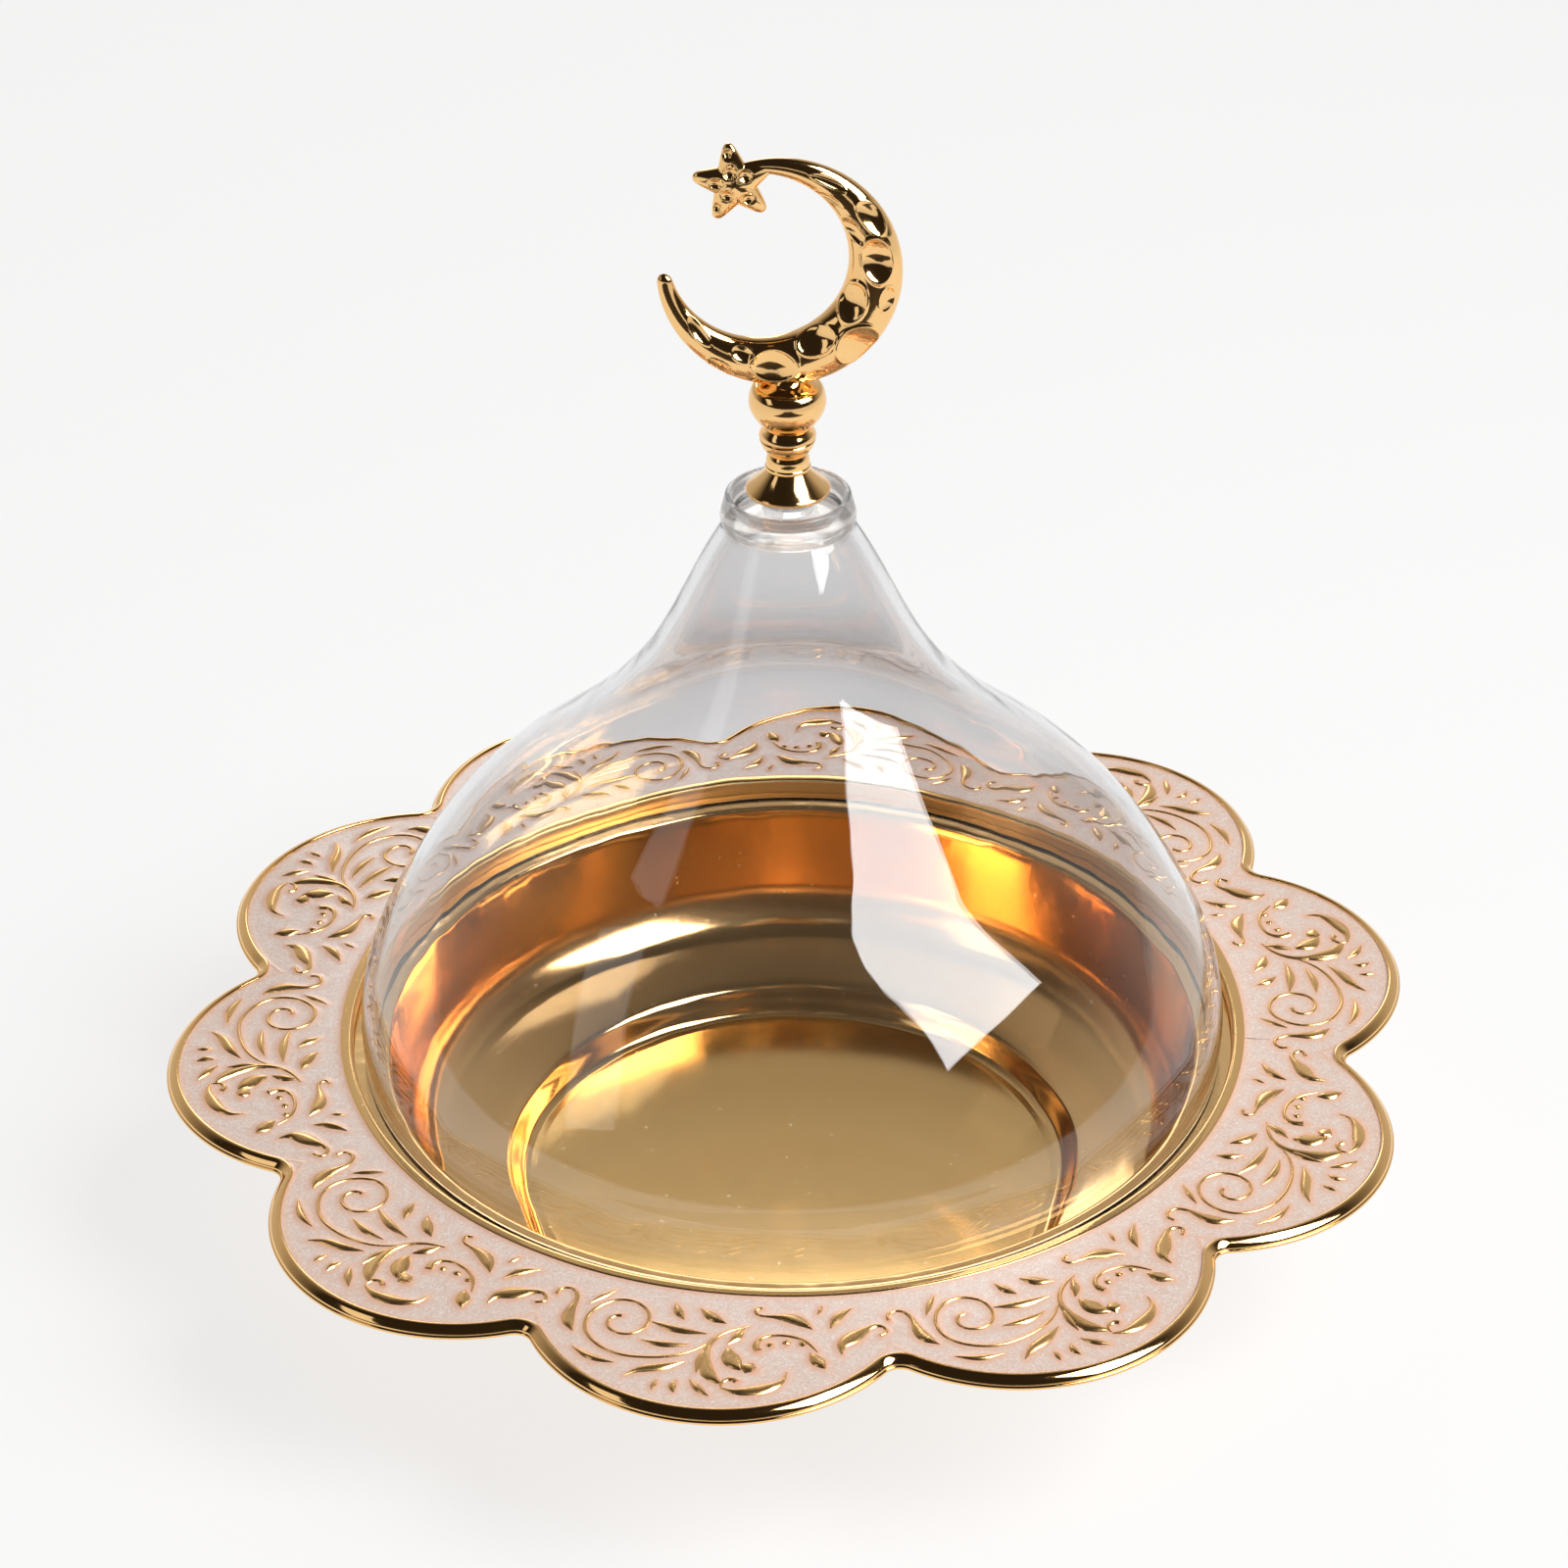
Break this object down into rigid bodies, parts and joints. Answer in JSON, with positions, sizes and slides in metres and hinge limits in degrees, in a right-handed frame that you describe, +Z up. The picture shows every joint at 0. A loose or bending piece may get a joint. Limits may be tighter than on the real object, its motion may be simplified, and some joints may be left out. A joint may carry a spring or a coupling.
{
  "type": "covered fruit bowl",
  "caption": "Gold serving bowl in a scalloped enamelled rim with raised scrolls, under a clear bell-shaped dome with a crescent finial.",
  "frame": {"origin": "on the table, at the centre of the bowl's flat base", "axes": "+Z up along the bowl's axis; -Y is the front that the crescent faces; -X is the side of the star"},
  "size_m": [0.307, 0.3076, 0.2834],
  "materials": {
    "gold_cast": "cast metal, polished and gold plated",
    "gold_pressed": "pressed sheet, mirror polished and gold plated",
    "gold_turned": "turned metal, polished and gold plated",
    "pearl_enamel": "pale pink pearl enamel, glossy",
    "clear_acrylic": "clear moulded acrylic, glossy",
    "rod_steel": "zinc-plated threaded rod"
  },
  "bodies": {
    "bowl": {"bowl_pan": "gold_pressed", "rim_plate": "gold_cast", "rim_enamel": "pearl_enamel"},
    "lid": {"dome": "clear_acrylic"},
    "finial": {"finial_bell": "gold_turned", "finial_spool": "gold_turned", "finial_ring": "gold_turned", "finial_urn": "gold_turned", "finial_crescent": "gold_cast", "finial_rod": "rod_steel"}
  },
  "joints": [
    {"name": "lid_lift", "type": "slide", "parent": "bowl", "child": "lid", "axis": [0, 0, 1], "range_m": [0, 0.25]},
    {"name": "finial_turn", "type": "hinge", "parent": "lid", "child": "finial", "pos_m": [0, 0, 0.2], "axis": [0, 0, 1], "continuous": true}
  ]
}
